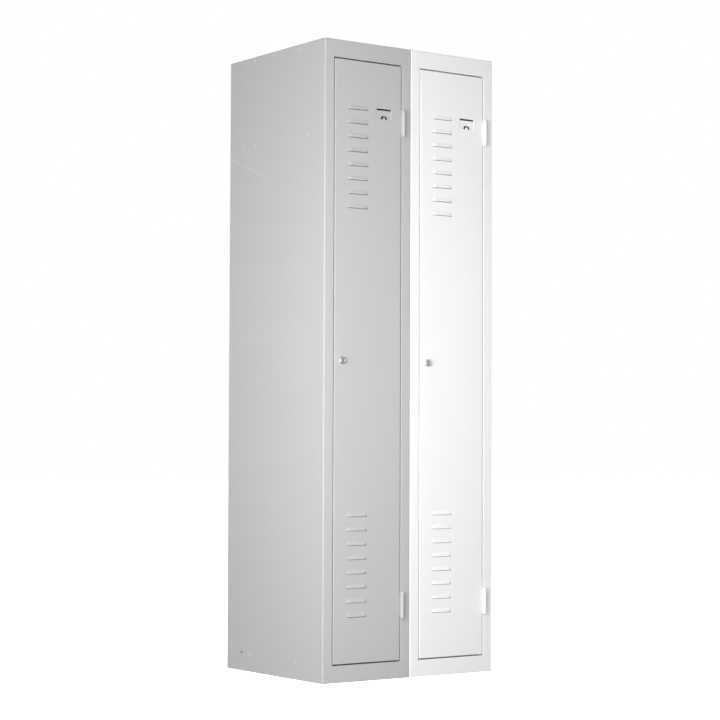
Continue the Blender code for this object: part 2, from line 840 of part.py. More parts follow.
def carcass(prefix, unit, paint, steel, plastic, outer_side):
    """The fixed pieces of one unit."""
    for word, side in (("left", -1), ("right", 1)):
        panel = side_panel(f"{prefix}_{word}_side_panel", side)
        places = [screw_places()[1]] if side == outer_side else screw_places()
        combine(panel, screw_holes(panel.name + "_holes", side * half_width, places), "DIFFERENCE")
        hang(panel, unit, paint)
        hang(rail_hanger(f"{prefix}_{word}_rail_hanger", side), unit, steel)
    hang(top_panel(f"{prefix}_top_panel"), unit, paint)
    hang(base_panel(f"{prefix}_base_panel"), unit, paint)
    hang(back_panel(f"{prefix}_back_panel"), unit, paint)
    hang(hat_shelf(f"{prefix}_hat_shelf"), unit, paint)
    hang(coat_rail(f"{prefix}_coat_rail"), unit, steel)
    for i, word in enumerate(("left", "middle", "right")):
        hang(coat_hook(f"{prefix}_{word}_hook", (i - 1) * hook_pitch), unit, plastic)


def door_set(prefix, unit, paint, metal, steel, pad):
    """The door of one unit with its hinges, its lock and its buffers."""
    axis = (hinge_x, hinge_y, 0)
    door = pivot(f"{prefix}_door_axis", unit, axis)
    hang(door_panel(f"{prefix}_door_panel"), door, paint, axis)
    hang(door_stiffener(f"{prefix}_door_stiffener"), door, paint, axis)
    for word, z in zip(("upper", "lower"), hinge_heights()):
        hang(frame_leaf(f"{prefix}_{word}_frame_leaf", z), unit, paint)
        hang(door_leaf(f"{prefix}_{word}_door_leaf", z), door, paint, axis)
        hang(hinge_pin(f"{prefix}_{word}_hinge_pin", z), unit, steel)
    hang(lock_body(f"{prefix}_lock_body"), door, metal, axis)
    hang(lock_nut(f"{prefix}_lock_nut"), door, steel, axis)
    latch = pivot(f"{prefix}_latch_axis", door, (lock_x - hinge_x, -hinge_y, lock_height))
    hang(lock_plug(f"{prefix}_lock_plug"), latch, metal)
    hang(lock_cam(f"{prefix}_lock_cam"), latch, steel)
    hang(cam_screw(f"{prefix}_cam_screw"), latch, steel)
    for word, z in (("upper", door_top - buffer_end_margin), ("lower", door_base + buffer_end_margin)):
        hang(door_buffer(f"{prefix}_{word}_door_buffer", z), unit, pad)


def build():
    """Both units and what joins them."""
    clear_scene()
    steel, metal, plastic, pad = zinc_steel(), nickel(), dark_plastic(), rubber()
    for prefix, side, paint in (("grey", -1, grey_paint()), ("white", 1, white_paint())):
        unit = pivot(f"{prefix}_unit", None, (side * seam_centre, 0, 0))
        carcass(prefix, unit, paint, steel, plastic, side)
        door_set(prefix, unit, paint, metal, steel, pad)
    for word, y, z in screw_places():
        hang(joining_screw(f"{word}_joining_screw", y, z), None, steel)


build()
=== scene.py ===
import json
import math

import bmesh
import bpy
from mathutils import Matrix, Vector


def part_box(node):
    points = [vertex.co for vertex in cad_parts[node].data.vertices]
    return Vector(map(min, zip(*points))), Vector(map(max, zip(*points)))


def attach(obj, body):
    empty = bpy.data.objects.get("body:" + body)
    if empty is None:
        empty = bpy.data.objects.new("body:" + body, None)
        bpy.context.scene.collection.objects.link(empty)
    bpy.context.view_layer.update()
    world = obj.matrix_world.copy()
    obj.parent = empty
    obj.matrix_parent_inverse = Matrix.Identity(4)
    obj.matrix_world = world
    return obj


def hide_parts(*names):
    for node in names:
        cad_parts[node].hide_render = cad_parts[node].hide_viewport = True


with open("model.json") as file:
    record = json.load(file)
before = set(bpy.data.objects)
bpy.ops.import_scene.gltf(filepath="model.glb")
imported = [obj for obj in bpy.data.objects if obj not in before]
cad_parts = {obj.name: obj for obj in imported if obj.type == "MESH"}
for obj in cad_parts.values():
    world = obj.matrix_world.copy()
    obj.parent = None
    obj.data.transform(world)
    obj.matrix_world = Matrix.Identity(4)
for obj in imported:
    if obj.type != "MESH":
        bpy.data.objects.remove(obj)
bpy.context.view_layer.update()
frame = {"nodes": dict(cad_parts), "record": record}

record = frame["record"]
body_of = {node: body for body, nodes in record["behaviour"]["bodies"].items() for node in nodes}
slot_of = {row["node"]: row["material_slot"] for row in record["subparts"]}
outer_words = {"grey": "left", "white": "right"}
finishes = {}

# Paint
grey_tone = 0.44
white_tone = 0.78
tone_spread = 0.02
# Colour of the real scuff, and of the painted highlights on the weld dimples
scuff_and_glint_colour = (0.74, 0.74, 0.74, 1)

# Door sheet
sheet = 0.001
door_depth = 0.020
door_lip = 0.010
edge_radius = 0.002
lip_radius = 0.0015
fold_steps = 8
face_step = 0.060

# Louvres, measured from the door's own edges
louvre_count = 8
louvre_pitch = 0.040
louvre_margin = 0.134
louvre_lift = 0.001
louvre_from_left = 0.0795
louvre_length = 0.071
louvre_height = 0.011
louvre_depth = 0.0030
louvre_swell = 0.6
louvre_taper = 0.011
louvre_slit = 0.0011
louvre_rows = 9
foot_slack = 0.01
taper_columns = 8
louvre_columns = 8

# Card holder
card_from_right = 0.0605
card_from_top = 0.131
slot_width = 0.050
slot_height = 0.0045
pocket_height = 0.0255
pocket_border = 0.001
pocket_depth = 0.0012
pocket_ramp = 0.0014
hold = 0.0004
tongue_width = 0.0090
tongue_height = 0.0052
tongue_side_cut = 0.0064
tongue_top_cut = 0.0038
tongue_foot_rise = 0.0005
tongue_corner = 0.0015
tongue_lean = 0.0018
tongue_bend = 1.5
tongue_rows = 6

# Lock
lock_sides = 64
head_depth = 0.006
head_radius = 0.0105
head_rim = 0.0018
head_dish = 0.0003
dish_share = 0.7
rim_steps = 9
barrel_radius = 0.008
thread_pitch = 0.001
thread_depth = 0.0003
plug_radius = 0.0052
plug_gap = 0.00015
key_slot_width = 0.0024
key_slot_height = 0.0082
key_slot_depth = 0.004
ward_width = 0.0020
ward_height = key_slot_height / 4
# Depth into the keyway where the painted shade begins
keyway_shade_start = 0.0008
plug_tail = 0.008
tail_gap = 0.0004
tail_side = 0.006
lock_edge = 0.0003
head_land = 0.0010
thread_start = 0.0015

# Marks in the side sheets: a row of welds is its height and their distances behind the front
weld_radius = 0.0034
weld_depth = 0.0005
weld_sides = 28
weld_rings = 4
weld_spread = 0.12
# How strongly the painted highlight lightens each weld dimple
weld_glint_strength = 0.45
shelf_welds = (1.538, (0.085, 0.132, 0.362, 0.428))
top_welds = (1.788, (0.133, 0.363))
base_welds = (0.050, (0.135, 0.368, 0.380))
weld_rows = (shelf_welds, top_welds, base_welds)
knock_out_radius = 0.0045
knock_out_groove = 0.0005
knock_outs = ((0.082, 0.054), (0.420, 1.777))
rear_weld_count = 12
rear_weld_inset = 0.008
mark_rise = 0.001

# A long light scuff on the grey unit's outer side
scuff_start = 0.060
scuff_knee = 0.232
scuff_knee_height = 1.416
scuff_slope = 0.357
scuff_bend = 0.073
scuff_width = 0.0011
scuff_full = 0.25
scuff_faint = 0.15
scuff_strong = 0.8

# Sliding hooks
hook_wall = 0.003
hook_slide_gap = 0.0004
hook_stem = 0.022
hook_wire = 0.0025
hook_knob = 0.0034
hook_arc_radius = 0.016
hook_arc_half_angle = math.radians(80)
hook_round = 0.0009
hook_sides = 20
hook_stations = 40

# Screws
screw_sides = 32
screw_dome = 0.0007
crown_share = 0.55
shoulder_share = 0.85
screw_thread = 0.0009
screw_thread_depth = 0.00035
cross_width = 0.0009
cross_share = 0.62
cross_depth = 0.0012
joining_head_height = 0.0035
joining_shank_radius = 0.003
joining_point = 0.003
cam_head_height = 0.002
cam_shank_radius = 0.0015

# Small rounds, and values for the tools
sheet_round = 0.0002
back_round = 0.0001
back_gap = 0.00028
overrun = 0.002
close = 0.00001
same_point = close / 5
flat_weight = 80
flat_angle = math.radians(0.5)
sharp_degrees = 40
copies_seed = 7


def middle(low, high):
    """The point midway between two corners."""
    return [(a + b) / 2 for a, b in zip(low, high)]


class Wire:
    """A socket that takes part in sums: each operator adds the Math node that works it out."""

    def __init__(self, tree, socket):
        self.tree = tree
        self.socket = socket

    def maths(self, operation, *values):
        return self.tree.node("ShaderNodeMath", {"operation": operation}, dict(enumerate(values)))

    def __add__(self, other):
        return self.maths("ADD", self, other)

    def __radd__(self, other):
        return self.maths("ADD", other, self)

    def __sub__(self, other):
        return self.maths("SUBTRACT", self, other)

    def __rsub__(self, other):
        return self.maths("SUBTRACT", other, self)

    def __mul__(self, other):
        return self.maths("MULTIPLY", self, other)

    def __rmul__(self, other):
        return self.maths("MULTIPLY", other, self)

    def __truediv__(self, other):
        return self.maths("DIVIDE", self, other)

    def __rtruediv__(self, other):
        return self.maths("DIVIDE", other, self)

    def __gt__(self, other):
        return self.maths("GREATER_THAN", self, other)

    def __lt__(self, other):
        return self.maths("LESS_THAN", self, other)

    def __abs__(self):
        return self.maths("ABSOLUTE", self)

    def nearest(self):
        return self.maths("ROUND", self)

    def at_least(self, other):
        return self.maths("MAXIMUM", self, other)

    def at_most(self, other):
        return self.maths("MINIMUM", self, other)

    def smooth(self, low, high, start=0.0, end=1.0):
        """Runs softly from start to end while the wire goes from low to high."""
        settings = {"interpolation_type": "SMOOTHSTEP"}
        sockets = {"Value": self, "From Min": low, "From Max": high, "To Min": start, "To Max": end}
        return self.tree.node("ShaderNodeMapRange", settings, sockets, "Result")


class Tree:
    """A node tree written as expressions."""

    def __init__(self, tree):
        self.tree = tree

    def node(self, kind, settings=None, sockets=None, out=0):
        """Add a node: its settings are set first, then the value or the link of each socket."""
        made = self.tree.nodes.new(kind)
        for name, value in (settings or {}).items():
            setattr(made, name, value)
        for name, value in (sockets or {}).items():
            if isinstance(value, Wire):
                self.tree.links.new(value.socket, made.inputs[name])
            else:
                made.inputs[name].default_value = value
        return Wire(self, made.outputs[out]) if made.outputs else made

    def parts(self, vector):
        """The x, y and z of a vector."""
        split = self.node("ShaderNodeSeparateXYZ", None, {0: vector}).socket.node
        return [Wire(self, socket) for socket in split.outputs]

    def vector(self, x, y, z):
        return self.node("ShaderNodeCombineXYZ", None, {0: x, 1: y, 2: z})

    def stretched(self, place, scale):
        return self.node("ShaderNodeMapping", None, {"Vector": place, "Scale": scale})

    def noise(self, place, scale, detail, roughness=0.5):
        sockets = {"Vector": place, "Scale": scale, "Detail": detail, "Roughness": roughness}
        return self.node("ShaderNodeTexNoise", None, sockets)

    def bump(self, strength, distance, height):
        sockets = {"Strength": strength, "Distance": distance, "Height": height}
        return self.node("ShaderNodeBump", None, sockets)

    def mixed(self, share, first, second):
        settings = {"data_type": "RGBA"}
        return self.node("ShaderNodeMix", settings, {0: share, 6: first, 7: second}, 2)


def material_tree(name):
    """A new material: itself, its tree, its Principled shader and the piece's own coordinates."""
    material = bpy.data.materials.new(name)
    material.use_nodes = True
    tree = Tree(material.node_tree)
    shader = material.node_tree.nodes["Principled BSDF"]
    place = tree.node("ShaderNodeTexCoord", out="Object")
    return material, tree, shader, place


def plug_in(tree, shader, **sockets):
    """Links or values for the shader's sockets, by name with underscores for spaces."""
    for name, value in sockets.items():
        socket = shader.inputs[name.replace("_", " ")]
        if isinstance(value, Wire):
            tree.tree.links.new(value.socket, socket)
        else:
            socket.default_value = value


def powder_coat(name, tone_value, marks):
    """Baked powder paint: fine orange peel on a sheet that isn't quite flat, with uneven gloss."""
    material, tree, shader, place = material_tree(name)
    light, dark = (tone_value * (1 + tone_spread),) * 3, (tone_value * (1 - tone_spread),) * 3
    cloud = tree.noise(place, 3.0, 3.0)
    speck = tree.noise(place, 900.0, 2.0)
    tone = (cloud - 0.5) * 0.5 + (speck - 0.5) * 0.35 + 0.5
    paint = tree.mixed(tone, (*dark, 1), (*light, 1))
    for mark in marks:
        paint = mark(tree, place, paint)
    peel = tree.noise(place, 520.0, 2.0, 0.45)
    wave = tree.noise(place, 5.0, 1.0)
    height = peel * 0.04 + wave * 2.0
    bump = tree.bump(0.35, 0.0006, height)
    gloss = tree.noise(place, 14.0, 3.0)
    plug_in(tree, shader, Base_Color=paint, Roughness=gloss * 0.12 + 0.44, Normal=bump,
            Specular_IOR_Level=0.2, IOR=1.5)
    return material


def side_scuff(tree, place, paint):
    """A faint light scuff across the grey unit's outer side, stronger towards the rear."""
    low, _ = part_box("grey_left_side_panel")
    x, y, z = tree.parts(place)
    behind = y - low.y - scuff_knee
    line = behind * scuff_slope - (behind * -1.0).at_least(0) * scuff_bend + scuff_knee_height
    patchy = tree.noise(place, 60.0, 2.0).smooth(0.35, 0.6, 0.4, 1.0)
    near = abs(z - line).smooth(0, scuff_width, 1, 0)
    fade = behind.smooth(scuff_start - scuff_knee, scuff_full, scuff_faint, scuff_strong)
    return tree.mixed(near * patchy * fade * (x < low.x + sheet_round), paint, scuff_and_glint_colour)


def weld_spots(tree, place, paint):
    """Painted highlights: faint light spots on the weld marks of the grey unit's outer side, in
    place of glints.
    """
    low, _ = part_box("grey_left_side_panel")
    x, y, z = tree.parts(place)
    on_face = x < low.x + weld_depth + sheet_round / 2
    for height, row in weld_rows:
        level = (z - height) / weld_radius
        for behind in row:
            across = (y - low.y - behind) / weld_radius
            # Painted highlight: the paint is lightened over each weld dimple, where a glint would be
            glint = (level * level + across * across).smooth(0.1, 1.8, weld_glint_strength, 0.0) * on_face
            paint = tree.mixed(glint, paint, scuff_and_glint_colour)
    return paint


def zinc_plate():
    """Zinc plated steel: a grey metal with a fine grain and soft clouds."""
    material, tree, shader, place = material_tree("zinc_plate")
    grain = tree.noise(tree.stretched(place, (40, 900, 900)), 1.0, 3.0)
    cloud = tree.noise(place, 60.0, 3.0)
    colour = tree.mixed(cloud, (0.40, 0.41, 0.43, 1), (0.54, 0.55, 0.57, 1))
    bump = tree.bump(0.15, 0.0001, grain)
    plug_in(tree, shader, Base_Color=colour, Roughness=cloud * 0.2 + 0.36, Metallic=1.0,
            Normal=bump)
    return material


def nickel_plate():
    """Nickel, a warm bright metal with a few fine rubs, with painted shade down in the keyways."""
    material, tree, shader, place = material_tree("nickel_plate")
    rub = tree.noise(tree.stretched(place, (900, 900, 120)), 1.0, 4.0)
    cloud = tree.noise(place, 220.0, 2.0)
    colour = tree.mixed(cloud, (0.72, 0.67, 0.60, 1), (0.82, 0.77, 0.70, 1))
    x, y, z = tree.parts(place)
    # Painted shade: inside each keyway, past a small depth, the colour turns nearly black and loses
    # its metal
    keyway_shade = 0.0
    for unit in outer_words:
        low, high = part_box(unit + "_lock_plug")
        plug_x, _, plug_z = middle(low, high)
        across, up = x - plug_x, z - plug_z
        within = (across * across + up * up) < (plug_radius - plug_gap) ** 2
        keyway_shade = within * (y - low.y).smooth(0.0001, keyway_shade_start) * (y < high.y - plug_tail) + keyway_shade
    bump = tree.bump(0.1, 0.00005, rub)
    shaded_colour = tree.mixed(keyway_shade, colour, (0.040, 0.026, 0.016, 1))
    plug_in(tree, shader, Base_Color=shaded_colour, Metallic=1.0 - keyway_shade, Roughness=rub * 0.12 + 0.32,
            Normal=bump)
    return material


def moulded_plastic():
    """Black moulded plastic with a fine matt grain."""
    material, tree, shader, place = material_tree("moulded_plastic")
    grain = tree.noise(place, 1400.0, 2.0)
    cloud = tree.noise(place, 90.0, 2.0)
    colour = tree.mixed(cloud, (0.018, 0.018, 0.020, 1), (0.034, 0.034, 0.037, 1))
    bump = tree.bump(0.3, 0.0001, grain)
    plug_in(tree, shader, Base_Color=colour, Roughness=cloud * 0.15 + 0.42, Normal=bump)
    return material


def soft_rubber():
    """Dull black rubber, a little dusty."""
    material, tree, shader, place = material_tree("soft_rubber")
    dust = tree.noise(place, 400.0, 4.0, 0.6)
    colour = tree.mixed(dust.smooth(0.5, 0.8), (0.020, 0.020, 0.020, 1), (0.070, 0.068, 0.064, 1))
    bump = tree.bump(0.3, 0.0001, dust)
    plug_in(tree, shader, Base_Color=colour, Roughness=dust * 0.1 + 0.72, Normal=bump)
    return material


def make_finishes():
    """One material for each slot of the record."""
    # The grey side has a real scuff and painted highlights on its welds
    grey_scuff_and_glints = [side_scuff, weld_spots]
    finishes["light_grey_paint"] = powder_coat("light_grey_powder", grey_tone, grey_scuff_and_glints)
    finishes["white_paint"] = powder_coat("white_powder", white_tone, [])
    finishes["zinc_steel"] = zinc_plate()
    finishes["nickel_plate"] = nickel_plate()
    finishes["dark_plastic"] = moulded_plastic()
    finishes["rubber"] = soft_rubber()


def add_object(name, mesh):
    thing = bpy.data.objects.new(name, mesh)
    bpy.context.scene.collection.objects.link(thing)
    return thing


def plain(thing):
    """Turn what an object's modifiers make into its own mesh."""
    graph = bpy.context.evaluated_depsgraph_get()
    mesh = bpy.data.meshes.new_from_object(thing.evaluated_get(graph))
    thing.modifiers.clear()
    thing.data = mesh
    return thing


def from_points(name, points, faces):
    mesh = bpy.data.meshes.new(name)
    mesh.from_pydata(points, [], faces)
    return add_object(name, mesh)


def welded(thing):
    """Join points that lie together and turn every face outwards."""
    mesh = bmesh.new()
    mesh.from_mesh(thing.data)
    bmesh.ops.remove_doubles(mesh, verts=mesh.verts, dist=same_point)
    bmesh.ops.recalc_face_normals(mesh, faces=mesh.faces)
    mesh.to_mesh(thing.data)
    mesh.free()
    return thing


def smooth(thing, degrees=sharp_degrees):
    thing.data.shade_smooth()
    thing.data.set_sharp_from_angle(angle=math.radians(degrees))
    return thing


def flattened(thing, keep_sharp=True):
    """Let a piece's larger faces set its shading, so that flats look flat up to their edges."""
    change = thing.modifiers.new("flats", "WEIGHTED_NORMAL")
    change.keep_sharp = keep_sharp
    change.weight = flat_weight
    return plain(thing)


def cut(thing, *tools, operation="DIFFERENCE"):
    """Cut tools out of a piece, or join them to it."""
    for tool in tools:
        change = thing.modifiers.new("cut", "BOOLEAN")
        change.solver = "EXACT"
        change.operation = operation
        change.object = tool
        plain(thing)
        bpy.data.objects.remove(tool)
    return thing


def rounded(thing, width, segments=2):
    """Round the sharp edges of a piece, and keep its flats looking flat."""
    change = thing.modifiers.new("round", "BEVEL")
    change.width = width
    change.segments = segments
    change.limit_method = "ANGLE"
    change.angle_limit = math.radians(sharp_degrees)
    change.use_clamp_overlap = True
    plain(thing)
    thing.data.shade_smooth()
    return flattened(thing, keep_sharp=False)


def copy_of(node):
    """A clean copy of a CAD node's shape: its triangles merged and its flats made whole."""
    mesh = bmesh.new()
    mesh.from_mesh(frame["nodes"][node].data)
    bmesh.ops.remove_doubles(mesh, verts=mesh.verts, dist=same_point)
    bmesh.ops.dissolve_limit(mesh, angle_limit=flat_angle, verts=mesh.verts, edges=mesh.edges)
    copy = bpy.data.meshes.new(node + "_finish")
    mesh.to_mesh(copy)
    mesh.free()
    return add_object(node + "_finish", copy)


def dress(piece, *nodes):
    """Give a finished piece the body of the nodes that it stands for and the finish of their slot.
    """
    slot = slot_of[nodes[0]]
    piece.data.materials.clear()
    piece.data.materials.append(finishes[slot])
    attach(piece, body_of[nodes[0]])
    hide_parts(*nodes)
    return piece


def turned(name, profile, sides, axis="Y"):
    """A closed shape turned round an axis from pairs of radius and place along that axis."""
    points, faces = [], []
    for radius, along in profile:
        for i in range(sides):
            turn = 2 * math.pi * i / sides
            a, b = radius * math.cos(turn), radius * math.sin(turn)
            points.append({"X": (along, a, b), "Y": (a, along, b), "Z": (a, b, along)}[axis])
    for ring in range(len(profile) - 1):
        for i in range(sides):
            j = (i + 1) % sides
            here, there = ring * sides, (ring + 1) * sides
            faces.append((here + i, here + j, there + j, there + i))
    if profile[0] == profile[-1]:
        return welded(from_points(name, points, faces))
    faces.append(tuple(range(sides)))
    faces.append(tuple(range(len(points) - sides, len(points))))
    return welded(from_points(name, points, faces))


def moved(thing, place):
    thing.data.transform(Matrix.Translation(Vector(place)))
    return thing


def block(name, low, high):
    """A plain box between two corners."""
    (x0, y0, z0), (x1, y1, z1) = low, high
    points = [(x, y, z) for z in (z0, z1) for x, y in ((x0, y0), (x1, y0), (x1, y1), (x0, y1))]
    faces = [(0, 3, 2, 1), (4, 5, 6, 7), (0, 1, 5, 4), (1, 2, 6, 5), (2, 3, 7, 6), (3, 0, 4, 7)]
    return from_points(name, points, faces)


def bar(name, centre, half_wide, half_high, near, far):
    """A straight bar from front to back through the centre."""
    x, _, z = centre
    return block(name, (x - half_wide, near, z - half_high), (x + half_wide, far, z + half_high))


def node_group(name, inputs):
    """A Geometry Nodes tree with named inputs: the tree, and a wire for each input by its name."""
    group = bpy.data.node_groups.new(name, "GeometryNodeTree")
    group.interface.new_socket("Geometry", in_out="INPUT", socket_type="NodeSocketGeometry")
    group.interface.new_socket("Geometry", in_out="OUTPUT", socket_type="NodeSocketGeometry")
    kinds = {float: "NodeSocketFloat", int: "NodeSocketInt", Vector: "NodeSocketVector"}
    for label, value in inputs.items():
        kind = kinds.get(type(value)) or "NodeSocket" + type(value).__name__
        group.interface.new_socket(label, in_out="INPUT", socket_type=kind)
    tree = Tree(group)
    entry = tree.node("NodeGroupInput").socket.node
    return tree, {socket.name: Wire(tree, socket) for socket in entry.outputs if socket.name}


def grow(thing, tree, inputs):
    """Run a Geometry Nodes tree on an object and keep the plain mesh that it makes."""
    change = thing.modifiers.new(tree.tree.name, "NODES")
    change.node_group = tree.tree
    for item in tree.tree.interface.items_tree:
        if item.in_out == "INPUT" and item.name in inputs:
            change[item.identifier] = inputs[item.name]
    return plain(thing)


def close_tree(tree, geometry, finish):
    """End a tree: make the copies real, and give them their finish."""
    real = tree.node("GeometryNodeRealizeInstances", None, {0: geometry})
    done = tree.node("GeometryNodeSetMaterial", None, {"Geometry": real, "Material": finish})
    tree.node("NodeGroupOutput", None, {0: done})


def louvre_tree(inputs):
    """Press two groups of louvres out of a flat sheet and open the mouth under each."""
    tree, wire = node_group("pressed_louvres", inputs)
    x, _, z = tree.parts(tree.node("GeometryNodeInputPosition"))
    upper = z > wire["Middle"]
    first = upper * (wire["Upper First"] - wire["Lower First"]) + wire["Lower First"]
    step = ((z - first) / wire["Pitch"]).nearest().at_least(0).at_most(wire["Count"] - 1)
    up = (z - first - step * wire["Pitch"]) / wire["Height"] + 0.5
    across = wire["Length"] / 2 - abs(x - wire["Centre"])
    mouth = (up < 0) * (up > wire["Slit"] / wire["Height"] * -1.0) * (across > 0)
    opened = tree.node("GeometryNodeDeleteGeometry", {"domain": "FACE"},
                       {"Geometry": wire["Geometry"], "Selection": mouth})
    height = up.at_least(0).at_most(1)
    bow = (1 - height) * (wire["Swell"] * height + 1)
    rise = bow * across.smooth(0, wire["Taper"]) * (up > -foot_slack)
    push = tree.vector(0.0, rise * wire["Depth"] * -1.0, 0.0)
    pressed = tree.node("GeometryNodeSetPosition", None, {"Geometry": opened, "Offset": push})
    close_tree(tree, pressed, wire["Finish"])
    return tree


def copies_tree(inputs):
    """Set a copy of a small shape on every point of a mesh, each a little larger or smaller."""
    tree, wire = node_group("set_copies", inputs)
    shape = tree.node("GeometryNodeObjectInfo", None, {"Object": wire["Shape"]}, "Geometry")
    limits = {2: 1 - wire["Spread"], 3: 1 + wire["Spread"], "Seed": copies_seed}
    size = tree.node("FunctionNodeRandomValue", {"data_type": "FLOAT"}, limits, 1)
    sockets = {"Points": wire["Geometry"], "Instance": shape, "Rotation": wire["Turn"],
               "Scale": size}
    close_tree(tree, tree.node("GeometryNodeInstanceOnPoints", None, sockets), wire["Finish"])
    return tree


def lines(keys, step):
    """Places at every key, with even ones between them that are no further apart than step."""
    places = sorted(keys)
    found = [places[0]]
    for low, high in zip(places, places[1:]):
        count = max(1, math.ceil((high - low) / step)) if high - low > close else 0
        found += [low + (high - low) * (i + 1) / count for i in range(count)]
    return found


class Door:
    """Places on one door, from its CAD node and the sizes above."""

    def __init__(self, prefix):
        low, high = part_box(prefix + "_door_panel")
        self.left, self.right, self.foot, self.top = low.x, high.x, low.z, high.z
        self.front = high.y - door_depth
        self.inner = self.front + sheet
        self.louvre_x = self.left + louvre_from_left
        louvre_span = (louvre_count - 1) * louvre_pitch
        self.upper_first = self.top - louvre_margin + louvre_lift - louvre_span
        self.lower_first = self.foot + louvre_margin + louvre_lift
        self.card_x = self.right - card_from_right
        self.slot_z = self.top - card_from_top
        self.pocket_left = self.card_x - slot_width / 2 - pocket_border
        self.pocket_right = self.card_x + slot_width / 2 + pocket_border
        self.pocket_foot = self.slot_z - slot_height / 2 - pocket_height
        self.pocket_top = self.slot_z + slot_height / 2 + pocket_border
        self.tongue_foot = self.pocket_foot + tongue_foot_rise

    def soft_edge(self, edge):
        """Grid lines over a soft wall of the card pocket, and one on each side to hold the flats."""
        half = pocket_ramp / 2
        reaches = (-half - hold, -half, -half / 3, half / 3, half, half + hold)
        return [edge + reach for reach in reaches]

    def louvre_feet(self):
        return [first + i * louvre_pitch - louvre_height / 2
                for first in (self.lower_first, self.upper_first) for i in range(louvre_count)]

    def columns(self):
        """Where the sheet needs upright grid lines."""
        keys = [self.left + edge_radius, self.right - edge_radius]
        half = louvre_length / 2
        for side in (-1, 1):
            keys += [self.louvre_x + side * (half - louvre_taper * i / taper_columns)
                     for i in range(taper_columns + 1)]
        inner = half - louvre_taper
        keys += [self.louvre_x - inner + 2 * inner * i / louvre_columns
                 for i in range(louvre_columns)]
        keys += [self.louvre_x - half - hold, self.louvre_x + half + hold]
        for edge in (self.pocket_left, self.pocket_right):
            keys += self.soft_edge(edge)
        return lines(keys, face_step)

    def rows(self):
        """Where the sheet needs level grid lines."""
        keys = [self.foot + edge_radius, self.top - edge_radius]
        for foot in self.louvre_feet():
            keys.append(foot - louvre_slit)
            keys += [foot + louvre_height * i / louvre_rows for i in range(louvre_rows + 1)]
            keys += [foot - louvre_slit - hold, foot + louvre_height + hold]
        for edge in (self.pocket_foot, self.pocket_top):
            keys += self.soft_edge(edge)
        keys += [self.tongue_foot + tongue_height * i / tongue_rows for i in range(tongue_rows + 1)]
        return lines(keys, face_step)

    def recess(self, x, z):
        """How far the card pocket is pressed in at a place, with soft walls."""
        inside = min(x - self.pocket_left, self.pocket_right - x,
                     z - self.pocket_foot, self.pocket_top - z)
        share = min(max(inside / pocket_ramp + 0.5, 0), 1)
        return pocket_depth * share * share * (3 - 2 * share)


def fold_rows():
    """Pairs of inset and depth that lead from the door's face round its edge and along its lip."""
    turns = [math.pi / 2 * i / fold_steps for i in range(1, fold_steps + 1)]
    rows = [(edge_radius * (1 - math.sin(turn)), edge_radius * (1 - math.cos(turn)))
            for turn in turns]
    hub = door_depth - lip_radius
    rows += [(lip_radius * (1 - math.cos(turn)), hub + lip_radius * math.sin(turn))
             for turn in [0] + turns]
    return rows + [(door_lip, door_depth)]


def door_sheet(name, door):
    """The outer face of the door: a grid with the card pocket pressed in, its edges folded back."""
    columns, rows = door.columns(), door.rows()
    points = [(x, door.front + door.recess(x, z), z) for z in rows for x in columns]
    wide, high = len(columns), len(rows)
    faces = [(j * wide + i, j * wide + i + 1, (j + 1) * wide + i + 1, (j + 1) * wide + i)
             for j in range(high - 1) for i in range(wide - 1)]
    rim = list(range(wide)) + [j * wide + wide - 1 for j in range(1, high)]
    rim += [(high - 1) * wide + i for i in range(wide - 2, -1, -1)]
    rim += [j * wide for j in range(high - 2, 0, -1)]
    last = rim
    for inset, depth in fold_rows():
        x0, x1, z0, z1 = door.left + inset, door.right - inset, door.foot + inset, door.top - inset
        start = len(points)
        for i in rim:
            x, _, z = points[i]
            on_left = x < door.left + edge_radius + close
            on_right = x > door.right - edge_radius - close
            on_foot = z < door.foot + edge_radius + close
            on_top = z > door.top - edge_radius - close
            x = x0 if on_left else x1 if on_right else min(max(x, x0), x1)
            z = z0 if on_foot else z1 if on_top else min(max(z, z0), z1)
            points.append((x, door.front + depth, z))
        ring = list(range(start, len(points)))
        for i in range(len(rim)):
            j = (i + 1) % len(rim)
            faces.append((last[j], last[i], ring[i], ring[j]))
        last = ring
    return from_points(name, points, faces)


def arch(half, height, corner):
    """Points along an arch with round shoulders: pairs of x and z from the middle of its foot."""
    points = [(-half, 0)]
    for start, hub in ((math.pi, corner - half), (math.pi / 2, half - corner)):
        for i in range(fold_steps + 1):
            turn = start - math.pi / 2 * i / fold_steps
            along, above = corner * math.cos(turn), corner * math.sin(turn)
            points.append((hub + along, height - corner + above))
    return points + [(half, 0)]


def tongue_cutter(door):
    """The arch cut round the tongue."""
    half, corner = tongue_width / 2, tongue_corner
    inner = arch(half, tongue_height, corner)
    outer = arch(half + tongue_side_cut, tongue_height + tongue_top_cut, corner + tongue_top_cut)
    near, far = door.front - overrun, door.inner + overrun + pocket_depth
    points, faces = [], []
    for a, b in zip(inner, outer):
        corners = ((a, near), (b, near), (b, far), (a, far))
        points += [(door.card_x + x, y, door.tongue_foot + z) for (x, z), y in corners]
    for i in range(len(inner) - 1):
        for j in range(4):
            k = (j + 1) % 4
            faces.append((4 * i + j, 4 * i + k, 4 * i + 4 + k, 4 * i + 4 + j))
    faces += [(0, 1, 2, 3), tuple(len(points) - 4 + j for j in (3, 2, 1, 0))]
    return welded(from_points("tongue_cutter", points, faces))


def lean_tongue(door_piece, door):
    """Bend the tongue forward, more towards its free end."""
    reach = tongue_width / 2 + close
    for vertex in door_piece.data.vertices:
        x, y, z = vertex.co
        up = (z - door.tongue_foot) / tongue_height
        if abs(x - door.card_x) < reach and close < up < 1 + close and y < door.inner + overrun:
            vertex.co.y -= tongue_lean * up ** tongue_bend


